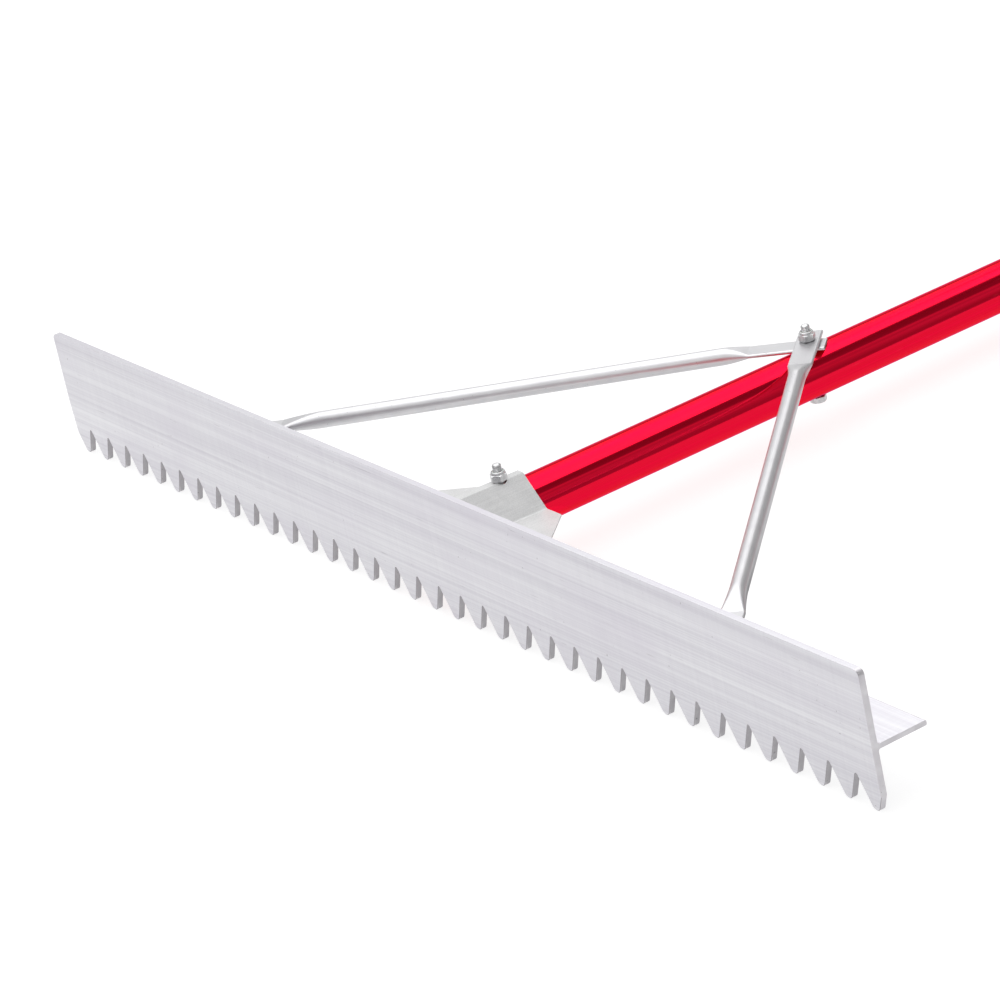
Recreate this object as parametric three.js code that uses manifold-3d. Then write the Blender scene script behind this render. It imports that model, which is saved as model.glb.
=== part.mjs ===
// An asphalt rake: a toothed T-section head, a round handle slotted over its flange,
// a folded saddle bracket over the joint and two braces of tube with flattened ends.
// Millimetres. While it is built, X runs along the blade, Y back along the handle and Z up,
// and the zero point is mid blade, on the blade's front face, level with the handle's axis.

import * as THREE from "three";
import { mergeVertices } from "three/addons/utils/BufferGeometryUtils.js";
import Module from "manifold-3d";

const wasm = await Module();
wasm.setup();

// Head
const bladeLength = 915;
const bladeThickness = 4.2;
const bladeRise = 48;
const bladeDrop = 39.7;
const bladeCornerRadius = 4;
const bladeEdgeRadius = 0.6;
const endReliefHeight = 36;
const endReliefInset = 3;
const flangeDepth = 34;
const flangeThickness = 3.2;
const flangeEdgeRadius = 0.9;
const flangeRootRadius = 1.5;

// Teeth: the gaps between them are cut into the blade's lower edge
const toothPitch = 24.92;
const toothGapCount = 36;
const toothPatternShift = 0.9;
const toothGapDepth = 18.9;
const toothRootRadius = 1.2;
const toothSteepFlankDegrees = 22.4;
const toothLowFlankDegrees = 29.5;
const toothSteepTipRadius = 3.4;
const toothLowTipRadius = 4.4;

// Handle
const handleDiameter = 33.1;
const handleWall = 2;
const handleLength = 2083;
const plugLength = 28;
const plugRimThickness = 4;
const plugRimRadius = 1.6;
const plugWall = 4;

// Saddle bracket: one sheet, folded over the handle and out along the flange
const saddleSheet = 1;
const saddleTopWidth = 6.2;
const saddleSlopeDegrees = 43.5;
const saddlePitchDegrees = 1.2;
const saddleBendRadius = 2.5;
const saddleTail = 81;
const saddleTailHalfWidth = 40;
const saddleEarHalfWidth = 84;
const saddleCornerRadius = 5;
const saddleTailRadius = 1.5;
const saddleBoltBack = 65.6;
const saddleHoleDiameter = 9.4;
const earBoltMargin = 20;

// Braces
const braceDiameter = 11.4;
const braceFlatThickness = 2.6;
const jointFlatLength = 39;
const jointFlareLength = 18;
const footFlatLength = 47;
const footFlareLength = 29;
const flareRoundness = 1.5;
const leftBraceEndMargin = 11.5;
const rightBraceEndMargin = 15.5;
const braceFootMargin = 14.5;
const braceAngleDegrees = 45;
const braceBoltBack = 310.4;

// M6 fasteners
const boltDiameter = 5.9;
const boltHoleDiameter = 6.5;
const boltDomeHeight = 1.6;
const hexAcrossFlats = 10;
const hexChamferDegrees = 30;
const boltHeadHeight = 4;
const nutHexHeight = 4.4;
const nutCollarHeight = 1.9;
const nutCollarDiameter = 9.2;
const nutCollarRadius = 0.9;
const insertDiameter = 7.6;
const insertBoreDiameter = 6.2;
const insertHeight = 1.3;
const handleBoltLength = 50.5;
const flangeBoltLength = 16;
const braceJointTurnDegrees = 42;
const saddleTurnDegrees = 8;
const footTurnDegrees = 25;
const earTurnDegrees = 15;

// Clearances
const seatGap = 0.3;
const insertGap = 0.15;
const cutOverrun = 2;

// Facets
const arcStepDegrees = 15;
const tubeSides = 48;
const boltSides = 18;
const braceSides = 24;
const flareSteps = 7;

const flangeTop = flangeThickness / 2;
const flangeBack = bladeThickness + flangeDepth;
const flangeBoltBack = bladeThickness + flangeDepth / 2;
const handleRadius = handleDiameter / 2;
const earBoltOffset = saddleEarHalfWidth - earBoltMargin;
const handleStart = bladeThickness + flangeRootRadius + seatGap;
const handleEnd = handleStart + handleLength;
const seatOnHandle = handleRadius + seatGap;

const aluminium = { color: 0xd9d9dd, roughness: 0.35, metalness: 0.9 };
const sheetMetal = { color: 0xd2d3d3, roughness: 0.7, metalness: 0.4 };
const redFinish = { color: 0xe0002c, roughness: 0.12, metalness: 0.6 };
const zinc = { color: 0xc4c5c8, roughness: 0.3, metalness: 0.9 };
const nylon = { color: 0xe8e8e4, roughness: 0.5, metalness: 0 };
const blackPlastic = { color: 0x1b1b1c, roughness: 0.6, metalness: 0 };

const radians = THREE.MathUtils.degToRad;

// A closed three.js geometry as a solid that can be joined and cut.
function solid(geometry) {
  const bare = geometry.clone();
  bare.deleteAttribute("normal");
  bare.deleteAttribute("uv");
  const merged = mergeVertices(bare, 1e-4);
  return new wasm.Manifold(
    new wasm.Mesh({
      numProp: 3,
      vertProperties: merged.attributes.position.array,
      triVerts: new Uint32Array(merged.index.array),
    }),
  );
}

// A solid as flat-shaded three.js geometry.
function geometryOf(body) {
  const mesh = body.getMesh();
  const geometry = new THREE.BufferGeometry();
  geometry.setAttribute(
    "position",
    new THREE.BufferAttribute(mesh.vertProperties, 3),
  );
  geometry.setIndex(new THREE.BufferAttribute(mesh.triVerts, 1));
  const faceted = geometry.toNonIndexed();
  faceted.computeVertexNormals();
  return faceted;
}

// A closed outline from corners [x, y, radius], with an arc at each corner that has a radius.
function roundedOutline(corners) {
  const points = [];
  corners.forEach(([x, y, radius], index) => {
    const corner = new THREE.Vector2(x, y);
    if (!radius) {
      points.push(corner);
      return;
    }
    const before = corners[(index + corners.length - 1) % corners.length];
    const after = corners[(index + 1) % corners.length];
    const back = new THREE.Vector2(before[0], before[1]).sub(corner).normalize();
    const ahead = new THREE.Vector2(after[0], after[1]).sub(corner).normalize();
    const half = Math.acos(THREE.MathUtils.clamp(back.dot(ahead), -1, 1)) / 2;
    const centre = back
      .clone()
      .add(ahead)
      .setLength(radius / Math.sin(half))
      .add(corner);
    const start = corner.clone().addScaledVector(back, radius / Math.tan(half));
    const turn = Math.PI - 2 * half;
    const steps = Math.max(2, Math.ceil(turn / radians(arcStepDegrees)));
    const direction = Math.sign(back.cross(ahead)) * -1;
    for (let step = 0; step <= steps; step++) {
      const angle = (direction * turn * step) / steps;
      points.push(start.clone().rotateAround(centre, angle));
    }
  });
  return points;
}

// An outline extruded between two places along one axis.
// Along X the outline is drawn in Y and Z, along Y in X and Z, and along Z in X and Y.
function prism(outline, axis, from, to) {
  const geometry = new THREE.ExtrudeGeometry(new THREE.Shape(outline), {
    depth: to - from,
    bevelEnabled: false,
  });
  const x = new THREE.Vector3(1, 0, 0);
  const y = new THREE.Vector3(0, 1, 0);
  const z = new THREE.Vector3(0, 0, 1);
  const turn = new THREE.Matrix4();
  if (axis === "x") turn.makeBasis(y, z, x).setPosition(from, 0, 0);
  if (axis === "y") turn.makeBasis(x, z, y.negate()).setPosition(0, to, 0);
  if (axis === "z") turn.setPosition(0, 0, from);
  return solid(geometry.applyMatrix4(turn));
}

// A profile of [radius, height] points, turned about the Z axis.
function revolve(profile, sides) {
  const points = profile.map(([radius, height]) => new THREE.Vector2(radius, height));
  return solid(new THREE.LatheGeometry(points, sides).rotateX(Math.PI / 2));
}

// A straight hole's cutter along Z.
function boltHole(x, y, from, to, diameter = boltHoleDiameter) {
  const cutter = new THREE.CylinderGeometry(diameter / 2, diameter / 2, to - from, boltSides);
  cutter.rotateX(Math.PI / 2).translate(x, y, (from + to) / 2);
  return solid(cutter);
}

// The T section of the head, drawn in Y and Z.
function headSection() {
  return roundedOutline([
    [0, -bladeDrop],
    [bladeThickness, -bladeDrop],
    [bladeThickness, -flangeTop, flangeRootRadius],
    [flangeBack, -flangeTop, flangeEdgeRadius],
    [flangeBack, flangeTop, flangeEdgeRadius],
    [bladeThickness, flangeTop, flangeRootRadius],
    [bladeThickness, bladeRise, bladeEdgeRadius],
    [0, bladeRise, bladeEdgeRadius],
  ]);
}

// The blade seen from the front, before its teeth are cut.
function bladeOutline() {
  const half = bladeLength / 2;
  return roundedOutline([
    [half, -bladeDrop - cutOverrun],
    [half, bladeRise, bladeCornerRadius],
    [-half, bladeRise, bladeCornerRadius],
    [-half, endReliefHeight - bladeDrop],
    [endReliefInset - half, -bladeDrop - cutOverrun],
  ]);
}

// One gap between two teeth: a leaning V with a round root and a round shoulder on each side.
function toothGapOutline(centre) {
  const steep = radians(toothSteepFlankDegrees);
  const low = radians(toothLowFlankDegrees);
  const rootRise = toothRootRadius * (1 / Math.sin((steep + low) / 2) - 1);
  const apexHeight = toothGapDepth + rootRise;
  const left = centre - apexHeight * Math.tan(steep);
  const right = centre + apexHeight * Math.tan(low);
  const steepLand = toothSteepTipRadius * Math.tan((Math.PI / 2 - steep) / 2);
  const lowLand = toothLowTipRadius * Math.tan((Math.PI / 2 - low) / 2);
  return roundedOutline([
    [left - steepLand, -bladeDrop - cutOverrun],
    [right + lowLand, -bladeDrop - cutOverrun],
    [right + lowLand, -bladeDrop],
    [right, -bladeDrop, toothLowTipRadius],
    [centre, apexHeight - bladeDrop, toothRootRadius],
    [left, -bladeDrop, toothSteepTipRadius],
    [left - steepLand, -bladeDrop],
  ]);
}

function toothedHead() {
  const half = bladeLength / 2;
  let head = prism(headSection(), "x", -half, half).intersect(
    prism(bladeOutline(), "y", -cutOverrun, flangeBack + cutOverrun),
  );
  // One gap past each end shapes the outer flank of the first and the last tooth.
  for (let gap = -1; gap <= toothGapCount; gap++) {
    const centre = (gap - (toothGapCount - 1) / 2) * toothPitch + toothPatternShift;
    head = head.subtract(
      prism(toothGapOutline(centre), "y", -cutOverrun, bladeThickness + cutOverrun),
    );
  }
  for (const side of [-1, 1])
    for (const x of [braceFootOffset(), earBoltOffset])
      head = head.subtract(boltHole(side * x, flangeBoltBack, -flangeThickness, flangeThickness));
  return head;
}

function handleTube() {
  const bore = handleRadius - handleWall;
  let tube = revolve(
    [
      [bore, handleEnd],
      [bore, handleStart],
      [handleRadius, handleStart],
      [handleRadius, handleEnd],
      [bore, handleEnd],
    ],
    tubeSides,
  ).rotate([-90, 0, 0]);
  const slotHalf = flangeTop + seatGap;
  const slot = new THREE.BoxGeometry(
    handleDiameter + cutOverrun,
    flangeBack + seatGap,
    2 * slotHalf,
  ).translate(0, (flangeBack + seatGap) / 2, 0);
  tube = tube.subtract(solid(slot));
  for (const y of [saddleBoltBack, braceBoltBack])
    tube = tube.subtract(boltHole(0, y, -handleDiameter, handleDiameter));
  return tube;
}

// The cap at the far end: a hollow spigot inside the tube and a rounded rim over its end.
function endPlug() {
  const spigot = handleRadius - handleWall - seatGap;
  const bore = spigot - plugWall;
  const seat = handleEnd + seatGap;
  const back = seat + plugRimThickness;
  const profile = roundedOutline([
    [0, seat],
    [bore, seat],
    [bore, seat - plugLength],
    [spigot, seat - plugLength],
    [spigot, seat],
    [handleRadius, seat],
    [handleRadius, back, plugRimRadius],
    [0, back],
  ]);
  return revolve(
    profile.map((point) => [point.x, point.y]),
    tubeSides,
  ).rotate([-90, 0, 0]);
}

// The saddle dips towards its tail, where it meets the handle. This is how far it stands
// over its own height at the flange's back edge.
function saddleRise(y) {
  return (flangeBack - y) * Math.tan(radians(saddlePitchDegrees));
}

// How far the saddle's sloping sides stand from the handle's axis, at the flange's back edge.
function saddleSideDistance() {
  return seatOnHandle - saddleRise(saddleTail) * Math.cos(radians(saddleSlopeDegrees));
}

// Where the saddle's sloping side, at a distance from the handle's axis, crosses a height.
function slopeAt(distance, height) {
  const slope = radians(saddleSlopeDegrees);
  return (distance - height * Math.cos(slope)) / Math.sin(slope);
}

// How high the saddle's narrow top stands over the handle's axis, at the flange's back edge.
function saddleTop() {
  const slope = radians(saddleSlopeDegrees);
  const outer = saddleSideDistance() + saddleSheet;
  return (outer - (saddleTopWidth / 2) * Math.sin(slope)) / Math.cos(slope);
}

function saddleBracket() {
  const inner = saddleSideDistance();
  const outer = inner + saddleSheet;
  const footUnder = flangeTop + seatGap;
  const footOver = footUnder + saddleSheet;
  const top = saddleTop();
  const tight = saddleBendRadius;
  const wide = saddleBendRadius + saddleSheet;
  const rightHalf = [
    [slopeAt(inner, top - saddleSheet), top - saddleSheet, tight / 2],
    [slopeAt(inner, footUnder), footUnder, wide],
    [saddleEarHalfWidth, footUnder],
    [saddleEarHalfWidth, footOver],
    [slopeAt(outer, footOver), footOver, tight],
    [saddleTopWidth / 2, top, tight / 2],
  ];
  const section = roundedOutline([
    ...rightHalf,
    ...rightHalf.map(([x, z, radius]) => [-x, z, radius]).reverse(),
  ]);
  const front = handleStart;
  const flare = saddleEarHalfWidth - saddleTailHalfWidth;
  const rightPlan = [
    [saddleEarHalfWidth, front, saddleCornerRadius],
    [saddleEarHalfWidth, saddleTail - flare, saddleCornerRadius],
    [saddleTailHalfWidth, saddleTail, saddleTailRadius],
  ];
  const plan = roundedOutline([
    ...rightPlan,
    ...rightPlan.map(([x, y, radius]) => [-x, y, radius]).reverse(),
  ]);
  let bracket = prism(section, "y", front, saddleTail).intersect(
    prism(plan, "z", -cutOverrun, top + cutOverrun),
  );
  bracket = bracket
    .translate([0, -flangeBack, -footUnder])
    .rotate([-saddlePitchDegrees, 0, 0])
    .translate([0, flangeBack, footUnder])
    .subtract(boltHole(0, saddleBoltBack, 0, top + cutOverrun, saddleHoleDiameter));
  for (const side of [-1, 1])
    bracket = bracket.subtract(boltHole(side * earBoltOffset, flangeBoltBack, 0, top));
  return bracket;
}

// The braces run straight in plan, so their foot bolts follow from the angle.
function braceFootOffset() {
  return (braceBoltBack - flangeBoltBack) * Math.tan(radians(braceAngleDegrees));
}

// A flattened tube keeps its outer girth, so its width follows from its thickness.
function flattenedWidth(thickness) {
  return thickness + (Math.PI / 2) * (braceDiameter - thickness);
}

// Places along a pressed end, from its flat part to the round tube: how far each is from the
// bolt, and what share of the tube's full thickness it has won back.
function flareStations(flatLength, flareLength) {
  const stations = [[flatLength, 0]];
  for (let step = 1; step <= flareSteps; step++) {
    const travelled = step / flareSteps;
    stations.push([
      flatLength + flareLength * travelled,
      1 - (1 - travelled) ** flareRoundness,
    ]);
  }
  return stations;
}

// A tube with both ends pressed flat, swept from the handle bolt down to the flange bolt.
function brace(side, upperHeight, endMargin) {
  const angle = radians(braceAngleDegrees);
  const span = (braceBoltBack - flangeBoltBack) / Math.cos(angle);
  const lowerHeight = flangeTop + seatGap + braceFlatThickness / 2;
  const along = new THREE.Vector3(side * Math.sin(angle), -Math.cos(angle), 0);
  const up = new THREE.Vector3(0, 0, 1);
  const across = new THREE.Vector3().crossVectors(along, up);
  const jointFlare = flareStations(jointFlatLength, jointFlareLength);
  const footFlare = flareStations(footFlatLength, footFlareLength)
    .map(([reach, share]) => [span - reach, share])
    .reverse();
  const stations = [[-endMargin, 0], ...jointFlare, ...footFlare, [span + braceFootMargin, 0]];
  const bottom = span - footFlatLength;
  const vertices = [];
  for (const [reach, share] of stations) {
    const thickness = THREE.MathUtils.lerp(braceFlatThickness, braceDiameter, share);
    const shift = (flattenedWidth(thickness) - thickness) / 2;
    const drop = THREE.MathUtils.clamp(
      (reach - jointFlatLength) / (bottom - jointFlatLength),
      0,
      1,
    );
    const centre = new THREE.Vector3(0, braceBoltBack, 0)
      .addScaledVector(along, reach)
      .setZ(THREE.MathUtils.lerp(upperHeight, lowerHeight, drop));
    for (let corner = 0; corner < braceSides; corner++) {
      const turn = ((corner + 0.5) / braceSides) * 2 * Math.PI - Math.PI / 2;
      const centreShift = corner < braceSides / 2 ? shift : -shift;
      const point = centre
        .clone()
        .addScaledVector(across, centreShift + (thickness / 2) * Math.cos(turn))
        .addScaledVector(up, (thickness / 2) * Math.sin(turn));
      vertices.push(...point.toArray());
    }
  }
  const rings = vertices.length / 3 / braceSides;
  const faces = [];
  for (let ring = 0; ring < rings - 1; ring++)
    for (let corner = 0; corner < braceSides; corner++) {
      const next = (corner + 1) % braceSides;
      const a = ring * braceSides + corner;
      const b = ring * braceSides + next;
      faces.push(a, a + braceSides, b, b, a + braceSides, b + braceSides);
    }
  const last = (rings - 1) * braceSides;
  for (let corner = 1; corner < braceSides - 1; corner++) {
    faces.push(0, corner, corner + 1);
    faces.push(last, last + corner + 1, last + corner);
  }
  const geometry = new THREE.BufferGeometry();
  geometry.setAttribute("position", new THREE.Float32BufferAttribute(vertices, 3));
  geometry.setIndex(faces);
  return solid(geometry)
    .subtract(boltHole(0, braceBoltBack, 0, handleDiameter))
    .subtract(boltHole(side * braceFootOffset(), flangeBoltBack, 0, handleDiameter));
}

// A hexagonal prism with its corners turned down at the ends that are asked for.
function hexagon(height, chamferBelow, chamferAbove) {
  const flat = hexAcrossFlats / 2;
  const corner = flat / Math.cos(Math.PI / 6);
  const fall = (corner - flat) * Math.tan(radians(hexChamferDegrees));
  const blank = new THREE.CylinderGeometry(corner, corner, height, 6)
    .rotateX(Math.PI / 2)
    .translate(0, 0, height / 2);
  const turned = revolve(
    [
      [0, 0],
      [chamferBelow ? flat : corner, 0],
      [corner, chamferBelow ? fall : 0],
      [corner, chamferAbove ? height - fall : height],
      [chamferAbove ? flat : corner, height],
      [0, height],
    ].filter(([radius, level], index, all) => {
      const before = all[index - 1];
      return !before || before[0] !== radius || before[1] !== level;
    }),
    boltSides,
  );
  return solid(blank).intersect(turned);
}

// A hex bolt standing on its head, with its shank's root at zero and a domed end.
function hexBolt(length) {
  const shank = boltDiameter / 2;
  const dome = [];
  const domeSteps = 4;
  for (let step = 0; step <= domeSteps; step++) {
    const angle = (step / domeSteps) * (Math.PI / 2);
    dome.push([
      step === domeSteps ? 0 : shank * Math.cos(angle),
      length - boltDomeHeight + boltDomeHeight * Math.sin(angle),
    ]);
  }
  const stem = revolve([[0, -boltHeadHeight / 2], [shank, -boltHeadHeight / 2], ...dome], boltSides);
  return hexagon(boltHeadHeight, true, false).translate([0, 0, -boltHeadHeight]).add(stem);
}

// A lock nut: a hexagon under a round collar that holds the nylon insert.
function lockNut() {
  const height = nutHexHeight + nutCollarHeight;
  const collarRadius = nutCollarDiameter / 2;
  const collar = roundedOutline([
    [0, nutHexHeight / 2],
    [collarRadius, nutHexHeight / 2],
    [collarRadius, height, nutCollarRadius],
    [0, height],
  ]).map((point) => [point.x, point.y]);
  const recess = insertDiameter / 2 + insertGap;
  const floor = height - insertHeight - insertGap;
  const bore = revolve(
    [
      [0, -cutOverrun],
      [boltHoleDiameter / 2, -cutOverrun],
      [boltHoleDiameter / 2, floor],
      [recess, floor],
      [recess, height + cutOverrun],
      [0, height + cutOverrun],
    ],
    boltSides,
  );
  return hexagon(nutHexHeight, true, true).add(revolve(collar, boltSides)).subtract(bore);
}

function nylonInsert() {
  const outer = insertDiameter / 2;
  const inner = insertBoreDiameter / 2;
  const top = nutHexHeight + nutCollarHeight;
  return revolve(
    [
      [inner, top],
      [inner, top - insertHeight],
      [outer, top - insertHeight],
      [outer, top],
      [inner, top],
    ],
    boltSides,
  );
}

const rake = new THREE.Group();

function addPiece(parent, name, body, finish) {
  const mesh = new THREE.Mesh(geometryOf(body), new THREE.MeshStandardMaterial(finish));
  mesh.name = name;
  parent.add(mesh);
}

// A bolt from below with its lock nut and insert above, round what it clamps. The turn is
// where its hexagons came to rest when it was tightened.
function addFastener(name, x, y, under, over, length, turnDegrees) {
  const place = new THREE.Group();
  place.position.set(x, y, 0);
  place.rotation.z = radians(turnDegrees);
  addPiece(place, name + "_bolt", hexBolt(length).translate([0, 0, under - seatGap]), zinc);
  addPiece(place, name + "_nut", lockNut().translate([0, 0, over + seatGap]), zinc);
  addPiece(place, name + "_nut_insert", nylonInsert().translate([0, 0, over + seatGap]), nylon);
  rake.add(place);
}

const lowerBraceHeight = seatOnHandle + braceFlatThickness / 2;
const upperBraceHeight = lowerBraceHeight + braceFlatThickness + seatGap;

addPiece(rake, "toothed_head", toothedHead(), aluminium);
addPiece(rake, "handle_tube", handleTube(), redFinish);
addPiece(rake, "handle_end_plug", endPlug(), blackPlastic);
addPiece(rake, "saddle_bracket", saddleBracket(), sheetMetal);
addPiece(rake, "left_brace", brace(-1, lowerBraceHeight, leftBraceEndMargin), aluminium);
addPiece(rake, "right_brace", brace(1, upperBraceHeight, rightBraceEndMargin), aluminium);

const braceStackTop = upperBraceHeight + braceFlatThickness / 2;
const footStackTop = flangeTop + seatGap + braceFlatThickness;
const earStackTop = flangeTop + seatGap + saddleSheet + saddleRise(flangeBoltBack);
const saddleStackTop = saddleTop() + saddleRise(saddleBoltBack);
addFastener(
  "brace_joint",
  0,
  braceBoltBack,
  -handleRadius,
  braceStackTop,
  handleBoltLength,
  braceJointTurnDegrees,
);
addFastener(
  "saddle",
  0,
  saddleBoltBack,
  -handleRadius,
  saddleStackTop,
  handleBoltLength,
  saddleTurnDegrees,
);
for (const [side, word] of [[-1, "left"], [1, "right"]]) {
  addFastener(
    word + "_foot",
    side * braceFootOffset(),
    flangeBoltBack,
    -flangeTop,
    footStackTop,
    flangeBoltLength,
    footTurnDegrees,
  );
  addFastener(
    word + "_ear",
    side * earBoltOffset,
    flangeBoltBack,
    -flangeTop,
    earStackTop,
    flangeBoltLength,
    earTurnDegrees,
  );
}

// At rest the rake lies on its tooth tips and the handle's far end, so it leans back a little.
const plugContact = handleEnd + seatGap + plugRimThickness - plugRimRadius;
const lean = Math.atan2(bladeDrop - handleRadius, plugContact - bladeThickness);
const part = new THREE.Group();
part.add(rake);
rake.rotation.x = -lean;
const bounds = new THREE.Box3().setFromObject(part, true);
const middle = bounds.getCenter(new THREE.Vector3());
rake.position.set(-middle.x, -middle.y, -bounds.min.z);

export default part;
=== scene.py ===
import math

import bmesh
import bpy
from mathutils import Matrix, Vector


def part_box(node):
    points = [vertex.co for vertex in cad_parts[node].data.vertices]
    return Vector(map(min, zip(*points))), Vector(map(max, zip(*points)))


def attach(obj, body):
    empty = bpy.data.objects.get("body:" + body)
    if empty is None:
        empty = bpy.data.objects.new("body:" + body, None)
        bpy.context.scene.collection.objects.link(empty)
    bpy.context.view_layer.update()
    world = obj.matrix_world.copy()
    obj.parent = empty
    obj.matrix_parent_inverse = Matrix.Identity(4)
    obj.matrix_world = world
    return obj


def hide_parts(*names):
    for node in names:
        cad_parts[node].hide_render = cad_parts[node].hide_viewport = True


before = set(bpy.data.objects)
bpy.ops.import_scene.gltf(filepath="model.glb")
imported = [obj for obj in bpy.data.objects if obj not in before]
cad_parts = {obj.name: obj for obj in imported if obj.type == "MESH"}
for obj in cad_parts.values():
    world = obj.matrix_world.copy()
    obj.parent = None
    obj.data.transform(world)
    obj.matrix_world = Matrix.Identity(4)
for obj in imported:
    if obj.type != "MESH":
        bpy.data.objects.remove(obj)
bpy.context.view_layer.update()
print("frame loaded:", len(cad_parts), "nodes")

# Sizes below are millimetres on the rake's own axes: X along the blade, Y back along the handle,
# Z up, from mid blade on its front face, level with the handle's axis.

millimetre = 0.001
mergeDistance = 0.00001
seatGap = 0.3  # between pieces that rest on each other
overrun = 2.0  # how far a cutter reaches past what it cuts
unturned = (0.0, 0.0, 0.0)
white = (1.0, 1.0, 1.0, 1.0)


class Wire:
    # a node's output that takes part in arithmetic

    def __init__(self, graph, socket):
        self.graph = graph
        self.socket = socket

    def __add__(self, other):
        return self.graph.maths("ADD", self, other)

    __radd__ = __add__

    def __sub__(self, other):
        return self.graph.maths("SUBTRACT", self, other)

    def __rsub__(self, other):
        return self.graph.maths("SUBTRACT", other, self)

    def __mul__(self, other):
        return self.graph.maths("MULTIPLY", self, other)

    __rmul__ = __mul__

    def __abs__(self):
        return self.graph.maths("ABSOLUTE", self)


class Graph:
    # makes nodes in one tree: every node goes through make()

    def __init__(self, tree):
        self.tree = tree

    def make(self, kind, settings=None, sockets=None, output=0):
        node = self.tree.nodes.new(kind)
        for key, value in (settings or {}).items():
            if key == "stops":
                self.setStops(node.color_ramp, value)
            else:
                setattr(node, key, value)
        for key, value in (sockets or {}).items():
            if isinstance(value, Wire):
                self.tree.links.new(value.socket, node.inputs[key])
            else:
                node.inputs[key].default_value = value
        if not len(node.outputs):
            return None
        return Wire(self, node.outputs[output])

    def setStops(self, ramp, stops):
        while len(ramp.elements) < len(stops):
            ramp.elements.new(1.0)
        for element, (place, grey) in zip(ramp.elements, stops):
            element.position = place
            element.color = (grey, grey, grey, 1.0)

    def maths(self, operation, first, second=0.0):
        return self.make("ShaderNodeMath", {"operation": operation}, {0: first, 1: second})

    def blend(self, factor, first, second):
        settings = {"data_type": "RGBA"}
        return self.make("ShaderNodeMix", settings, {0: factor, 6: first, 7: second}, 2)

    def part(self, vector, index):
        # a vector's X, Y or Z
        return self.make("ShaderNodeSeparateXYZ", sockets={"Vector": vector}, output=index)


class Paint(Graph):
    # one material, with the steps that several finishes share

    def __init__(self, name):
        self.material = bpy.data.materials.new(name)
        self.material.use_nodes = True
        super().__init__(self.material.node_tree)
        self.tree.nodes.clear()

    def places(self, turn=unturned, scale=(1.0, 1.0, 1.0), space="Object"):
        # space is the object's own coordinates or the piece's UV map
        coordinates = self.make("ShaderNodeTexCoord", output=space)
        sockets = {"Vector": coordinates, "Rotation": turn, "Scale": scale}
        return self.make("ShaderNodeMapping", {"vector_type": "POINT"}, sockets)

    def pattern(self, facts, turn):
        # a noise, or how squarely a face looks along an axis
        if "facing" in facts:
            normal = self.make("ShaderNodeNewGeometry", output="Normal")
            return abs(self.part(normal, facts["facing"]))
        scale = facts["scale"]
        if isinstance(scale, float):
            scale = (scale, scale, scale)
        vector = self.places(facts.get("turn", turn), scale, facts.get("space", "Object"))
        sockets = {"Vector": vector, "Scale": 1.0, "Detail": facts.get("detail", 2.0)}
        return self.make("ShaderNodeTexNoise", sockets=sockets)

    def between(self, value, low, high):
        sockets = {"Value": value, "From Min": low, "From Max": high}
        return self.make("ShaderNodeMapRange", {"clamp": True}, sockets)

    def glow(self, colour, strength=1.0):
        return self.make("ShaderNodeEmission", sockets={"Color": colour, "Strength": strength})

    def output(self, shader):
        self.make("ShaderNodeOutputMaterial", sockets={"Surface": shader})


def turned(point, angle):
    cosine, sine = math.cos(angle), math.sin(angle)
    return Vector((point.x * cosine - point.y * sine, point.x * sine + point.y * cosine))


def roundedOutline(corners, stepDegrees=6.0):
    # corners are (x, y) or (x, y, radius), and each radius becomes an arc
    points = []
    for index, corner in enumerate(corners):
        here = Vector(corner[:2])
        if len(corner) == 2:
            points.append(here)
            continue
        back = (Vector(corners[index - 1][:2]) - here).normalized()
        ahead = (Vector(corners[(index + 1) % len(corners)][:2]) - here).normalized()
        half = back.angle(ahead) / 2
        turn = math.pi - 2 * half
        centre = here + (back + ahead).normalized() * corner[2] / math.sin(half)
        arm = here + back * corner[2] / math.tan(half) - centre
        spin = -1 if back.x * ahead.y - back.y * ahead.x > 0 else 1
        steps = max(2, math.ceil(turn / math.radians(stepDegrees)))
        for step in range(steps + 1):
            points.append(centre + turned(arm, spin * turn * step / steps))
    return points


def insetOutline(points, inset):
    # moves each point of an anticlockwise outline inwards, square to its two sides
    if inset == 0:
        return list(points)
    moved = []
    for index, point in enumerate(points):
        before = (point - points[index - 1]).normalized()
        after = (points[(index + 1) % len(points)] - point).normalized()
        sideBefore = Vector((-before.y, before.x))
        sideAfter = Vector((-after.y, after.x))
        moved.append(point + (sideBefore + sideAfter) * inset / (1 + sideBefore.dot(sideAfter)))
    return moved


def loft(rings, closed=False, spacing=None):
    # joins rings of equal count into one closed mesh; spacing gives each ring's UV place
    work = bmesh.new()
    layers = [[work.verts.new(point) for point in points] for points in rings]
    count = len(layers[0])
    uv = work.loops.layers.uv.new("UVMap") if spacing else None
    pairs = list(zip(layers, layers[1:]))
    if closed:
        pairs.append((layers[-1], layers[0]))
    for level, (lower, upper) in enumerate(pairs):
        for side in range(count):
            nextSide = (side + 1) % count
            face = work.faces.new((lower[side], lower[nextSide], upper[nextSide], upper[side]))
            if uv:
                girth = spacing["girth"] / count
                for loop, along, about in zip(face.loops, (0, 0, 1, 1), (0, 1, 1, 0)):
                    loop[uv].uv = (spacing["levels"][level + along], (side + about) * girth)
    if not closed:
        work.faces.new(layers[0])
        work.faces.new(layers[-1])
    bmesh.ops.remove_doubles(work, verts=work.verts, dist=mergeDistance)
    bmesh.ops.recalc_face_normals(work, faces=work.faces)
    mesh = bpy.data.meshes.new("loft")
    work.to_mesh(mesh)
    work.free()
    return mesh


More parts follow.
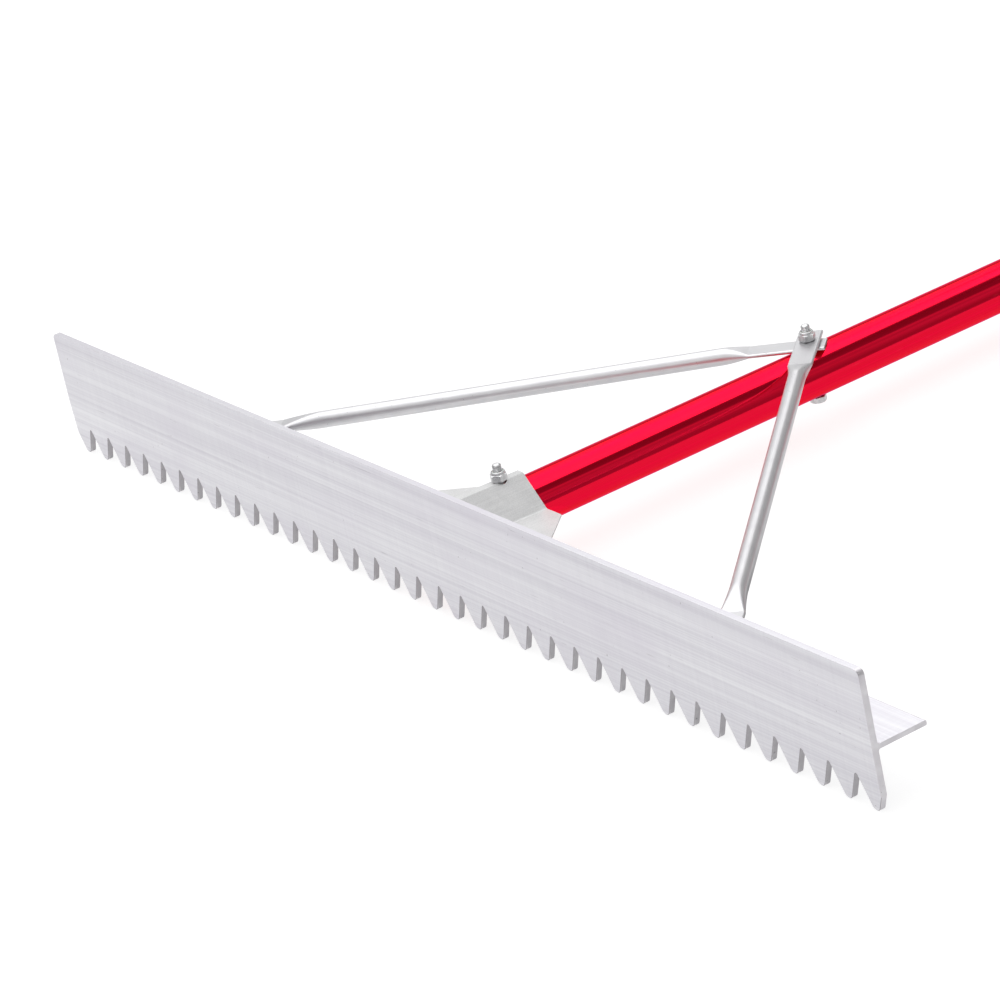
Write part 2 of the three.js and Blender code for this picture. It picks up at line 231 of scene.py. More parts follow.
def onAxis(axis, point, height):
    # an outline is drawn in Y and Z along X, in X and Z along Y, and in X and Y along Z
    if axis == "x":
        return Vector((height, point.x, point.y))
    if axis == "y":
        return Vector((point.x, height, point.y))
    return Vector((point.x, point.y, height))


def stack(outline, layers, axis):
    # an outline carried along an axis through (height, inset) layers
    return loft([
        [onAxis(axis, point, height) for point in insetOutline(outline, inset)]
        for height, inset in layers
    ])


def rectangle(low, high):
    return [Vector(corner) for corner in (low, (high[0], low[1]), high, (low[0], high[1]))]


def circle(radius, sides, centre=(0.0, 0.0)):
    angles = [2 * math.pi * side / sides for side in range(sides)]
    return [
        Vector((centre[0] + radius * math.cos(angle), centre[1] + radius * math.sin(angle)))
        for angle in angles
    ]


def revolve(profile, sides, axis="z", closed=False, centre=(0.0, 0.0)):
    # (radius, height) points turned about an axis through the centre
    return loft([
        [onAxis(axis, point, height) for point in circle(radius, sides, centre)]
        for radius, height in profile
    ], closed)


def joined(meshes):
    work = bmesh.new()
    for mesh in meshes:
        work.from_mesh(mesh)
        bpy.data.meshes.remove(mesh)
    result = bpy.data.meshes.new("joined")
    work.to_mesh(result)
    work.free()
    return result


def evaluated(holder):
    # a holder's modifiers turned into a plain mesh, and the holder taken away
    result = bpy.data.meshes.new_from_object(
        holder.evaluated_get(bpy.context.evaluated_depsgraph_get())
    )
    old = holder.data
    bpy.data.objects.remove(holder)
    bpy.data.meshes.remove(old)
    return result


def placed(data, name="holder"):
    # an object in the scene for a mesh, a lamp or a camera
    holder = bpy.data.objects.new(name, data)
    bpy.context.scene.collection.objects.link(holder)
    return holder


def combine(base, other, operation):
    holder, tool = placed(base), placed(other, "tool")
    modifier = holder.modifiers.new("combine", "BOOLEAN")
    modifier.operation = operation
    modifier.solver = "EXACT"
    modifier.object = tool
    result = evaluated(holder)
    bpy.data.objects.remove(tool)
    bpy.data.meshes.remove(other)
    return result


def bevelled(mesh, width, segments, angleDegrees=50.0):
    holder = placed(mesh)
    modifier = holder.modifiers.new("edges", "BEVEL")
    modifier.width = width
    modifier.segments = segments
    modifier.limit_method = "ANGLE"
    modifier.angle_limit = math.radians(angleDegrees)
    return evaluated(holder)


def addPiece(name, mesh, material, nodes, sharpDegrees=40.0):
    # moves a finished mesh into the world, shades it, hangs it under the root body and hides the
    # CAD nodes it stands in for
    mesh.transform(rakeToWorld)
    mesh.name = name
    if material:
        mesh.materials.clear()
        mesh.materials.append(material)
    for polygon in mesh.polygons:
        polygon.use_smooth = True
    mesh.set_sharp_from_angle(angle=math.radians(sharpDegrees))
    piece = placed(mesh, name)
    piece.modifiers.new("flatFaces", "WEIGHTED_NORMAL").keep_sharp = True
    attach(piece, "root")
    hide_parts(*nodes)
    print(name, "has", len(mesh.polygons), "faces")


def nodeTree(name, inputs):
    # a Geometry Nodes tree with named inputs, its graph and a wire for each input
    tree = bpy.data.node_groups.new(name, "GeometryNodeTree")
    tree.interface.new_socket("Geometry", in_out="INPUT", socket_type="NodeSocketGeometry")
    for label, kind in inputs.items():
        tree.interface.new_socket(label, in_out="INPUT", socket_type="NodeSocket" + kind)
    tree.interface.new_socket("Geometry", in_out="OUTPUT", socket_type="NodeSocketGeometry")
    graph = Graph(tree)
    source = graph.make("NodeGroupInput").socket.node
    wires = {socket.name: Wire(graph, socket) for socket in source.outputs if socket.name}
    return tree, graph, wires


def runTree(mesh, tree, values):
    # sets each input by its socket's identifier and turns the result into a plain mesh
    holder = placed(mesh)
    modifier = holder.modifiers.new(tree.name, "NODES")
    modifier.node_group = tree
    for item in tree.interface.items_tree:
        if item.in_out == "INPUT" and item.name in values:
            modifier[item.identifier] = values[item.name]
    return evaluated(holder)


head = {
    "length": 915.0,
    "thickness": 4.2,
    "rise": 48.0,
    "drop": 39.7,
    "cornerRadius": 4.0,
    "reliefHeight": 36.0,
    "reliefInset": 3.0,
    "flangeDepth": 34.0,
    "flangeThickness": 3.2,
    "flangeEdgeRadius": 0.9,
    "rootRadius": 1.5,
    "edgeBevel": 0.6,
    "toothPitch": 24.92,
    "gapCount": 36,
    "patternShift": 0.9,
    "gapDepth": 18.9,
    "gapRootRadius": 1.2,
    "steepDegrees": 22.4,
    "lowDegrees": 29.5,
    "steepTipRadius": 3.4,
    "lowTipRadius": 4.4,
    "gapChamfer": 0.3,
    "tipHeight": 1.0,  # how far up from the tips a face counts as cut
    "sawnSlant": 0.04,  # a sawn face's normal has at least this much of X
    "flatFacing": 0.9,  # and less than this of Y
}
flangeTop = head["flangeThickness"] / 2
flangeBack = head["thickness"] + head["flangeDepth"]
flangeMiddle = head["thickness"] + head["flangeDepth"] / 2


def headSection():
    return roundedOutline([
        (0.0, -head["drop"]),
        (head["thickness"], -head["drop"]),
        (head["thickness"], -flangeTop, head["rootRadius"]),
        (flangeBack, -flangeTop, head["flangeEdgeRadius"]),
        (flangeBack, flangeTop, head["flangeEdgeRadius"]),
        (head["thickness"], flangeTop, head["rootRadius"]),
        (head["thickness"], head["rise"]),
        (0.0, head["rise"]),
    ], stepDegrees=10.0)


def bladeOutline():
    half = head["length"] / 2
    return roundedOutline([
        (half, head["rise"], head["cornerRadius"]),
        (-half, head["rise"], head["cornerRadius"]),
        (-half, head["reliefHeight"] - head["drop"]),
        (head["reliefInset"] - half, -head["drop"] - overrun),
        (half, -head["drop"] - overrun),
    ], stepDegrees=8.0)


def gapOutline():
    steep = math.radians(head["steepDegrees"])
    low = math.radians(head["lowDegrees"])
    rise = head["gapRootRadius"] * (1 / math.sin((steep + low) / 2) - 1)
    apex = head["gapDepth"] + rise
    left = -apex * math.tan(steep)
    right = apex * math.tan(low)
    steepLand = head["steepTipRadius"] * math.tan((math.pi / 2 - steep) / 2)
    lowLand = head["lowTipRadius"] * math.tan((math.pi / 2 - low) / 2)
    bottom = -head["drop"]
    return roundedOutline([
        (left - steepLand, bottom - overrun),
        (right + lowLand, bottom - overrun),
        (right + lowLand, bottom),
        (right, bottom, head["lowTipRadius"]),
        (0.0, apex + bottom, head["gapRootRadius"]),
        (left, bottom, head["steepTipRadius"]),
        (left - steepLand, bottom),
    ], stepDegrees=7.0)


def toothTree():
    tree, graph, wires = nodeTree("toothCutting", {
        "Cutter": "Object",
        "Gap count": "Int",
        "First gap": "Float",
        "Tooth pitch": "Float",
        "Plain finish": "Material",
        "Cut finish": "Material",
    })
    start = graph.make("ShaderNodeCombineXYZ", sockets={"X": wires["First gap"]})
    step = graph.make("ShaderNodeCombineXYZ", sockets={"X": wires["Tooth pitch"]})
    line = graph.make("GeometryNodeMeshLine", sockets={
        "Count": wires["Gap count"], "Start Location": start, "Offset": step,
    })
    cutter = graph.make(
        "GeometryNodeObjectInfo", sockets={"Object": wires["Cutter"]}, output="Geometry"
    )
    cutters = graph.make(
        "GeometryNodeInstanceOnPoints", sockets={"Points": line, "Instance": cutter}
    )
    solids = graph.make("GeometryNodeRealizeInstances", sockets={"Geometry": cutters})
    cut = graph.make(
        "GeometryNodeMeshBoolean",
        {"operation": "DIFFERENCE", "solver": "EXACT"},
        {"Mesh 1": wires["Geometry"], "Mesh 2": solids, "Self Intersection": True},
    )
    # faces that look along the blade were sawn or punched, and so were the tooth tips
    normal = graph.make("GeometryNodeInputNormal")
    sawn = graph.maths("GREATER_THAN", abs(graph.part(normal, 0)), head["sawnSlant"])
    flank = graph.maths("LESS_THAN", abs(graph.part(normal, 1)), head["flatFacing"])
    level = graph.part(graph.make("GeometryNodeInputPosition"), 2)
    tip = graph.maths("LESS_THAN", level, head["tipHeight"] - head["drop"])
    chosen = graph.maths("MAXIMUM", sawn, tip) * flank
    whole = graph.make("GeometryNodeRealizeInstances", sockets={"Geometry": cut})
    plain = graph.make("GeometryNodeSetMaterial", sockets={
        "Geometry": whole, "Material": wires["Plain finish"],
    })
    marked = graph.make("GeometryNodeSetMaterial", sockets={
        "Geometry": plain, "Selection": chosen, "Material": wires["Cut finish"],
    })
    graph.make("NodeGroupOutput", sockets={"Geometry": marked})
    return tree


def boltHole(x, y, low, high, diameter=None):
    radius = (diameter or fastener["holeDiameter"]) / 2
    return revolve([(radius, low), (radius, high)], fastener["holeSides"], centre=(x, y))


def toothedHead():
    half = head["length"] / 2
    blank = stack(headSection(), [(-half, 0), (half, 0)], "x")
    limits = stack(bladeOutline(), [(-overrun, 0), (flangeBack + overrun, 0)], "y")
    blank = combine(blank, limits, "INTERSECT")
    holes = joined([
        boltHole(side * x, flangeMiddle, -overrun - flangeTop, overrun + flangeTop)
        for side in (-1, 1) for x in (footBolt, earBolt)
    ])
    blank = combine(blank, holes, "DIFFERENCE")
    blank = bevelled(blank, head["edgeBevel"], segments=3)
    chamfer = head["gapChamfer"]
    cutter = placed(stack(gapOutline(), [
        (-chamfer, -2 * chamfer),
        (chamfer, 0),
        (head["thickness"] - chamfer, 0),
        (head["thickness"] + chamfer, -2 * chamfer),
    ], "y"), "gapCutter")
    gaps = head["gapCount"] + 2  # one more at each end, which shapes the end teeth's outer sides
    firstGap = -(gaps - 1) / 2 * head["toothPitch"] + head["patternShift"]
    mesh = runTree(blank, toothTree(), {
        "Cutter": cutter,
        "Gap count": gaps,
        "First gap": firstGap,
        "Tooth pitch": head["toothPitch"],
        "Plain finish": finishes["extrusion"],
        "Cut finish": finishes["cut"],
    })
    bpy.data.objects.remove(cutter)
    addPiece("toothedHead", mesh, None, ["toothed_head"])


handle = {
    "diameter": 33.1,
    "wall": 2.0,
    "length": 2083.0,
    "edgeBevel": 0.25,
    "slotGap": 0.3,
    "boltZone": 10.0,  # how far from a bolt its extra rings lie
    "sides": 144,
}
handleRadius = handle["diameter"] / 2
handleStart = head["thickness"] + head["rootRadius"] + seatGap
handleEnd = handleStart + handle["length"]
seatOnHandle = handleRadius + seatGap


def handleTube():
    bore = handleRadius - handle["wall"]
    edge, zone = handle["edgeBevel"], handle["boltZone"]
    # rings beside the bolts keep the long faces away from their holes
    stops = [saddle["boltBack"] + zone, brace["boltBack"] - zone, brace["boltBack"] + zone]
    outside = [(handleRadius, stop) for stop in stops]
    inside = [(bore, stop) for stop in reversed(stops)]
    tube = revolve([
        (bore, handleStart + edge),
        (bore + edge, handleStart),
        (handleRadius - edge, handleStart),
        (handleRadius, handleStart + edge),
        *outside,
        (handleRadius, handleEnd - edge),
        (handleRadius - edge, handleEnd),
        (bore + edge, handleEnd),
        (bore, handleEnd - edge),
        *inside,
    ], handle["sides"], "y", closed=True)
    reach = handleRadius + overrun
    slotHalf = flangeTop + handle["slotGap"]
    slotEnd = flangeBack + handle["slotGap"]
    slot = rectangle((-reach, -overrun), (reach, slotEnd))
    cutters = [stack(slot, [(-slotHalf, 0), (slotHalf, 0)], "z")]
    for back in (saddle["boltBack"], brace["boltBack"]):
        cutters.append(boltHole(0.0, back, -reach, reach))
    mesh = combine(tube, joined(cutters), "DIFFERENCE")
    addPiece("handleTube", mesh, finishes["red"], ["handle_tube"], sharpDegrees=30.0)


plug = {
    "depth": 28.0,
    "wall": 4.0,
    "rim": 4.0,
    "rimRadius": 1.6,
    "seatRadius": 0.3,
    "leadRadius": 1.2,
    "edgeRadius": 0.5,
    "floorRadius": 0.8,
    "axisRadius": 0.02,  # of the speck of a face that closes the middle
    "sides": 96,
}


def endPlug():
    spigot = handleRadius - handle["wall"] - seatGap
    bore = spigot - plug["wall"]
    seat = handleEnd + seatGap
    back = seat + plug["rim"]
    profile = roundedOutline([
        (plug["axisRadius"], seat),
        (bore, seat, plug["floorRadius"]),
        (bore, seat - plug["depth"], plug["edgeRadius"]),
        (spigot, seat - plug["depth"], plug["leadRadius"]),
        (spigot, seat),
        (handleRadius, seat, plug["seatRadius"]),
        (handleRadius, back, plug["rimRadius"]),
        (plug["axisRadius"], back),
    ], stepDegrees=12.0)
    mesh = revolve([(point.x, point.y) for point in profile], plug["sides"], "y")
    addPiece("handleEndPlug", mesh, finishes["plastic"], ["handle_end_plug"])


saddle = {
    "sheet": 1.0,
    "topWidth": 6.2,
    "slopeDegrees": 43.5,
    "pitchDegrees": 1.2,
    "bendRadius": 2.5,
    "tail": 81.0,
    "tailHalfWidth": 40.0,
    "earHalfWidth": 84.0,
    "cornerRadius": 5.0,
    "tailRadius": 1.5,
    "earBoltMargin": 20.0,
    "boltBack": 65.6,
    "holeDiameter": 9.4,
    "edgeBevel": 0.18,
}
earBolt = saddle["earHalfWidth"] - saddle["earBoltMargin"]


def saddleRise(y):
    # how much higher the bracket lies at y than over the flange's back edge, as it is pitched
    return (flangeBack - y) * math.tan(math.radians(saddle["pitchDegrees"]))


saddleSlope = math.radians(saddle["slopeDegrees"])
saddleInner = seatOnHandle - saddleRise(saddle["tail"]) * math.cos(saddleSlope)
saddleOuter = saddleInner + saddle["sheet"]
saddleTop = saddleOuter - saddle["topWidth"] / 2 * math.sin(saddleSlope)
saddleTop /= math.cos(saddleSlope)
footUnder = flangeTop + seatGap
footOver = footUnder + saddle["sheet"]


def slopeAt(distance, height):
    # how far out a slope at this distance from the axis is, at a height
    return (distance - height * math.cos(saddleSlope)) / math.sin(saddleSlope)


def mirrored(half):
    return half + [(-corner[0], *corner[1:]) for corner in reversed(half)]


def saddleBracket():
    tight = saddle["bendRadius"]
    under = saddleTop - saddle["sheet"]
    section = roundedOutline(mirrored([
        (slopeAt(saddleInner, under), under, tight / 2),
        (slopeAt(saddleInner, footUnder), footUnder, tight + saddle["sheet"]),
        (saddle["earHalfWidth"], footUnder),
        (saddle["earHalfWidth"], footOver),
        (slopeAt(saddleOuter, footOver), footOver, tight),
        (saddle["topWidth"] / 2, saddleTop, tight / 2),
    ]), stepDegrees=5.0)
    flare = saddle["earHalfWidth"] - saddle["tailHalfWidth"]
    plan = roundedOutline(mirrored([
        (saddle["earHalfWidth"], handleStart, saddle["cornerRadius"]),
        (saddle["earHalfWidth"], saddle["tail"] - flare, saddle["cornerRadius"]),
        (saddle["tailHalfWidth"], saddle["tail"], saddle["tailRadius"]),
    ]), stepDegrees=8.0)
    folded = stack(section, [(handleStart, 0), (saddle["tail"], 0)], "y")
    limits = stack(plan, [(-overrun, 0), (saddleTop + overrun, 0)], "z")
    sheet = combine(folded, limits, "INTERSECT")
    pivot = Matrix.Translation((0.0, flangeBack, footUnder))
    pitch = Matrix.Rotation(-math.radians(saddle["pitchDegrees"]), 4, "X")
    sheet.transform(pivot @ pitch @ pivot.inverted())
    holes = joined([
        boltHole(0.0, saddle["boltBack"], 0.0, saddleTop + overrun, saddle["holeDiameter"]),
        boltHole(-earBolt, flangeMiddle, -overrun, saddleTop),
        boltHole(earBolt, flangeMiddle, -overrun, saddleTop),
    ])
    sheet = combine(sheet, holes, "DIFFERENCE")
    sheet = bevelled(sheet, saddle["edgeBevel"], segments=2)
    addPiece("saddleBracket", sheet, finishes["sheet"], ["saddle_bracket"])


brace = {
    "diameter": 11.4,
    "flatThickness": 2.6,
    "jointFlatLength": 39.0,
    "jointFlareLength": 18.0,
    "footFlatLength": 47.0,
    "footFlareLength": 29.0,
    "flareRoundness": 1.5,
    "flareSteps": 18,
    "footMargin": 14.5,
    "angleDegrees": 45.0,
    "boltBack": 310.4,
    "edgeRadius": 0.5,
    # inwards, thinner and narrower, in shares of the edge's radius
    "edgeSteps": [(0.0, 1.2, 0.8), (0.3, 0.4, 0.3), (1.0, 0.0, 0.0)],
    "slitHeight": 0.35,
    "slitDepth": 0.8,
    "slitNarrow": (1.6, 1.2),  # how far it stops short of the flat's edges, inside and outside
    "sides": 48,
}
footBolt = (brace["boltBack"] - flangeMiddle) * math.tan(math.radians(brace["angleDegrees"]))


def pressedRing(thickness):
    # a section of the brace with its outer girth kept: flat sides joined by half rounds
    width = thickness + math.pi / 2 * (brace["diameter"] - thickness)
    quarter = brace["sides"] // 4
    radius = thickness / 2
    points = []
    for side in range(4):
        right = side in (0, 3)
        top = side in (0, 1)
        for step in range(quarter):
            angle = (side + (step + 0.5) / quarter) * math.pi / 2
            shift = width / 2 - radius
            points.append(Vector((
                (shift if right else -shift) + radius * math.cos(angle),
                radius * math.sin(angle),
            )))
    return points


def flareStations(flatLength, flareLength):
    # places along a pressed end and the share of the tube's thickness each has won back
    stations = [(flatLength, 0.0)]
    for step in range(1, brace["flareSteps"] + 1):
        travelled = step / brace["flareSteps"]
        share = 1 - (1 - travelled) ** brace["flareRoundness"]
        stations.append((flatLength + flareLength * travelled, share))
    return stations


def braceEnd():
    # (inwards, thickness, narrower) steps at an end, out of the slit and over the rounded edge
    edge, slit = brace["edgeRadius"], brace["slitHeight"]
    inner, outer = brace["slitNarrow"]
    steps = [(brace["slitDepth"], slit, inner), (0.0, slit, outer)]
    for inwards, thinner, narrower in brace["edgeSteps"]:
        thickness = brace["flatThickness"] - thinner * edge
        steps.append((inwards * edge, thickness, narrower * edge))
    return steps


def braceMesh(side, upperHeight, endMargin):
    angle = math.radians(brace["angleDegrees"])
    along = Vector((side * math.sin(angle), -math.cos(angle), 0.0))
    across = along.cross(Vector((0.0, 0.0, 1.0)))
    span = (brace["boltBack"] - flangeMiddle) / math.cos(angle)
    lowerHeight = footUnder + brace["flatThickness"] / 2
    upper, lower = brace["jointFlatLength"], span - brace["footFlatLength"]
    jointFlare = flareStations(upper, brace["jointFlareLength"])
    footFlare = flareStations(brace["footFlatLength"], brace["footFlareLength"])
    stations = jointFlare + [(span - reach, share) for reach, share in reversed(footFlare)]
    pressed = brace["diameter"] - brace["flatThickness"]
    start, end = -endMargin, span + brace["footMargin"]
    steps = [(start + inwards, *sizes) for inwards, *sizes in braceEnd()]
    steps += [(reach, brace["flatThickness"] + pressed * share, 0.0) for reach, share in stations]
    steps += [(end - inwards, *sizes) for inwards, *sizes in reversed(braceEnd())]
    rings = []
    for reach, thickness, narrower in steps:
        travelled = min(max((reach - upper) / (lower - upper), 0.0), 1.0)
        height = upperHeight + (lowerHeight - upperHeight) * travelled
        centre = Vector((0.0, brace["boltBack"], height)) + along * reach
        section = pressedRing(thickness)
        widest = max(point.x for point in section)
        shrink = (widest - narrower) / widest
        rings.append([
            centre + across * point.x * shrink + Vector((0.0, 0.0, point.y))
            for point in section
        ])
    levels = [millimetre * reach for reach, *sizes in steps]
    girth = millimetre * math.pi * brace["diameter"]
    mesh = loft(rings, spacing={"levels": levels, "girth": girth})
    holes = joined([
        boltHole(0.0, brace["boltBack"], 0.0, handle["diameter"]),
        boltHole(side * footBolt, flangeMiddle, 0.0, handle["diameter"]),
    ])
    return combine(mesh, holes, "DIFFERENCE")


lowerBrace = seatOnHandle + brace["flatThickness"] / 2
upperBrace = lowerBrace + brace["flatThickness"] + seatGap
braces = {
    "leftBrace": {"side": -1, "height": lowerBrace, "endMargin": 11.5, "node": "left_brace"},
    "rightBrace": {"side": 1, "height": upperBrace, "endMargin": 15.5, "node": "right_brace"},
}


fastener = {
    "holeDiameter": 6.5,
    "holeSides": 36,
    "acrossFlats": 10.0,
    "chamferDegrees": 30.0,
    "sides": 48,
}


def circleRing(radius, height):
    return [onAxis("z", point, height) for point in circle(radius, fastener["sides"])]


def hexRing(height, chamfer=0.0):
    # a hexagon's outline; 1 lowers its corners by the chamfer's cone and -1 lifts them
    flat = fastener["acrossFlats"] / 2
    slope = math.tan(math.radians(fastener["chamferDegrees"])) * chamfer
    points = []
    for side in range(fastener["sides"]):
        angle = 2 * math.pi * side / fastener["sides"]
        local = (angle + math.pi / 6) % (math.pi / 3) - math.pi / 6
        radius = flat / math.cos(local)
        level = height - (radius - flat) * slope
        points.append(Vector((radius * math.cos(angle), radius * math.sin(angle), level)))
    return points


# In these lists a ring's place is how far out or in it is, then how far up or down.
bolt = {
    "diameter": 5.9,
    "handleLength": 50.5,
    "flangeLength": 16.0,
    "headHeight": 4.0,
    "headDish": [(0.5, 0.25), (0.8, 0.12), (0.93, 0.0)],  # out in shares of half the flats
    "headEdge": 0.25,
    "faceShare": 0.96,
    "neckRings": [(0.3, 0.0), (0.0, 0.35)],
    "plainLength": 2.0,
    "threadPitch": 1.0,
    "threadDepth": 0.42,
    "threadLength": 22.0,
    "threadSteps": 8,  # rings in each pitch
    "threadSlope": 1.15,
    "runOut": 0.6,
    "tipInset": 0.12,
    "tipHeight": 0.5,  # in shares of the radius
    "tipShares": (0.3, 0.6, 0.85, 0.97),
}


def threadRings(low, high):
    # the radius follows a rounded ridge that climbs one pitch each turn
    sides, pitch = fastener["sides"], bolt["threadPitch"]
    steps = math.ceil((high - low) / pitch * bolt["threadSteps"])
    rings = []
    for step in range(steps + 1):
        height = low + (high - low) * step / steps
        fade = min(1.0, (height - low) / pitch, (high - height) / (bolt["runOut"] * pitch))
        depth = bolt["threadDepth"] * max(0.0, fade)
        points = []
        for side in range(sides):
            phase = (height / pitch - side / sides) % 1.0
            groove = min(1.0, abs(2 * phase - 1) * bolt["threadSlope"])
            radius = bolt["diameter"] / 2 - depth * groove
            angle = 2 * math.pi * side / sides
            points.append(Vector((radius * math.cos(angle), radius * math.sin(angle), height)))
        rings.append(points)
    return rings


def boltMesh(length):
    # stands on its head with the shank's root at zero
    flat, shank = fastener["acrossFlats"] / 2, bolt["diameter"] / 2
    low = -bolt["headHeight"]
    rings = [circleRing(flat * share, low + up) for share, up in bolt["headDish"]]
    rings += [hexRing(low, -1.0), hexRing(-bolt["headEdge"])]
    rings.append(circleRing(flat * bolt["faceShare"], 0.0))
    rings += [circleRing(shank + out, up) for out, up in bolt["neckRings"]]
    tip = bolt["tipHeight"] * shank
    rings += threadRings(max(bolt["plainLength"], length - bolt["threadLength"]), length - tip)
    for share in bolt["tipShares"]:
        radius = (shank - bolt["tipInset"]) * math.sqrt(1 - share * share)
        rings.append(circleRing(radius, length - tip + tip * share))
    return loft(rings)


nut = {
    "hexHeight": 4.4,
    "collarHeight": 1.9,
    "collarDiameter": 9.2,
    "leadWidth": 0.5,
    "leadHeight": 0.4,
    "faceShare": 0.94,
    "topShare": 0.965,
    "footRings": [(0.12, 0.12), (0.0, 0.35)],
    "lipRings": [(0.0, 0.9), (0.12, 0.45), (0.45, 0.1), (0.75, 0.0)],
    "mouthRings": [(0.05, 0.08), (0.0, 0.3)],
}
nutTop = nut["hexHeight"] + nut["collarHeight"]


def nutMesh():
    # a hexagon under the round collar that grips the ring
    flat, bore = fastener["acrossFlats"] / 2, fastener["holeDiameter"] / 2
    top, collar = nut["hexHeight"], nut["collarDiameter"] / 2
    recess = insert["diameter"] / 2 + insert["gap"]
    floor = nutTop - insert["height"] - insert["gap"]
    rings = [
        circleRing(bore, nut["leadHeight"]),
        circleRing(bore + nut["leadWidth"], 0.0),
        circleRing(flat * nut["faceShare"], 0.0),
        hexRing(0.0, -1.0),
        hexRing(top, 1.0),
        circleRing(flat * nut["topShare"], top),
    ]
    rings += [circleRing(collar + out, top + up) for out, up in nut["footRings"]]
    rings += [circleRing(collar - inwards, nutTop - down) for inwards, down in nut["lipRings"]]
    rings += [circleRing(recess + out, nutTop - down) for out, down in nut["mouthRings"]]
    rings += [circleRing(recess, floor), circleRing(bore, floor)]
    return loft(rings, closed=True)


insert = {
    "diameter": 7.6,
    "bore": 6.2,
    "height": 1.3,
    "gap": 0.15,
    "outerRings": [(0.0, 0.35), (0.15, 0.2)],
    "innerRings": [(0.2, 0.15), (0.0, 0.35)],
}


def insertMesh():
    outer, inner = insert["diameter"] / 2, insert["bore"] / 2
    low = nutTop - insert["height"]
    rings = [circleRing(inner, low), circleRing(outer, low)]
    rings += [circleRing(outer - inwards, nutTop - down) for inwards, down in insert["outerRings"]]
    rings += [circleRing(inner + out, nutTop - down) for out, down in insert["innerRings"]]
    return loft(rings, closed=True)


braceStackTop = upperBrace + brace["flatThickness"] / 2
earStackTop = footOver + saddleRise(flangeMiddle)
saddleStackTop = saddleTop + saddleRise(saddle["boltBack"])
footStackTop = footUnder + brace["flatThickness"]
# each spot's x and y, the heights under and over what is clamped, and the fastener's turn
spots = {
    "brace_joint": (0.0, brace["boltBack"], -handleRadius, braceStackTop, 42.0),
    "saddle": (0.0, saddle["boltBack"], -handleRadius, saddleStackTop, 8.0),
    "left_foot": (-footBolt, flangeMiddle, -flangeTop, footStackTop, 25.0),
    "right_foot": (footBolt, flangeMiddle, -flangeTop, footStackTop, 25.0),
    "left_ear": (-earBolt, flangeMiddle, -flangeTop, earStackTop, 15.0),
    "right_ear": (earBolt, flangeMiddle, -flangeTop, earStackTop, 15.0),
}


def fastenerTree():
    # stands a copy of one piece on every point, each turned by the point's own angle
    tree, graph, wires = nodeTree("fastenerPlaces", {
        "Fastener": "Object",
        "Finish": "Material",
    })
    piece = graph.make(
        "GeometryNodeObjectInfo", sockets={"Object": wires["Fastener"]}, output="Geometry"
    )
    angle = graph.make(
        "GeometryNodeInputNamedAttribute", {"data_type": "FLOAT"}, {"Name": "turn"}
    )
    rotation = graph.make("ShaderNodeCombineXYZ", sockets={"Z": angle})
    copies = graph.make("GeometryNodeInstanceOnPoints", sockets={
        "Points": wires["Geometry"], "Instance": piece, "Rotation": rotation,
    })
    solids = graph.make("GeometryNodeRealizeInstances", sockets={"Geometry": copies})
    dressed = graph.make("GeometryNodeSetMaterial", sockets={
        "Geometry": solids, "Material": wires["Finish"],
    })
    graph.make("NodeGroupOutput", sockets={"Geometry": dressed})
    return tree


def addFasteners(name, mesh, names, suffix, side, finish, slot):
    # side says whether the copies lie under or over what is clamped
    level, gap = (2, -seatGap) if side == "under" else (3, seatGap)
    points = bpy.data.meshes.new("spots")
    points.from_pydata([
        (spots[spot][0], spots[spot][1], spots[spot][level] + gap) for spot in names
    ], [], [])
    turns = points.attributes.new("turn", "FLOAT", "POINT")
    turns.data.foreach_set("value", [math.radians(spots[spot][4]) for spot in names])
    model = placed(mesh, "model")
    values = {"Fastener": model, "Finish": finishes[finish]}
    result = runTree(points, fastenerPlaces, values)
    bpy.data.objects.remove(model)
    nodes = [spot + suffix for spot in names]
    addPiece(name, result, finishes[finish], nodes, sharpDegrees=35.0)


# The rake lies on its tooth tips and the handle's far end, so its own axes lean a little.
plugContact = handleEnd + seatGap + plug["rim"] - plug["rimRadius"]
lean = math.atan2(head["drop"] - handleRadius, plugContact - head["thickness"])
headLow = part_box("toothed_head")[0]
rakeToWorld = (
    Matrix.Translation((
        0.0,
        headLow.y + millimetre * head["drop"] * math.sin(lean),
        millimetre * (head["thickness"] * math.sin(lean) + head["drop"] * math.cos(lean)),
    ))
    @ Matrix.Rotation(-lean, 4, "X")
    @ Matrix.Diagonal((millimetre, millimetre, millimetre, 1.0))
)

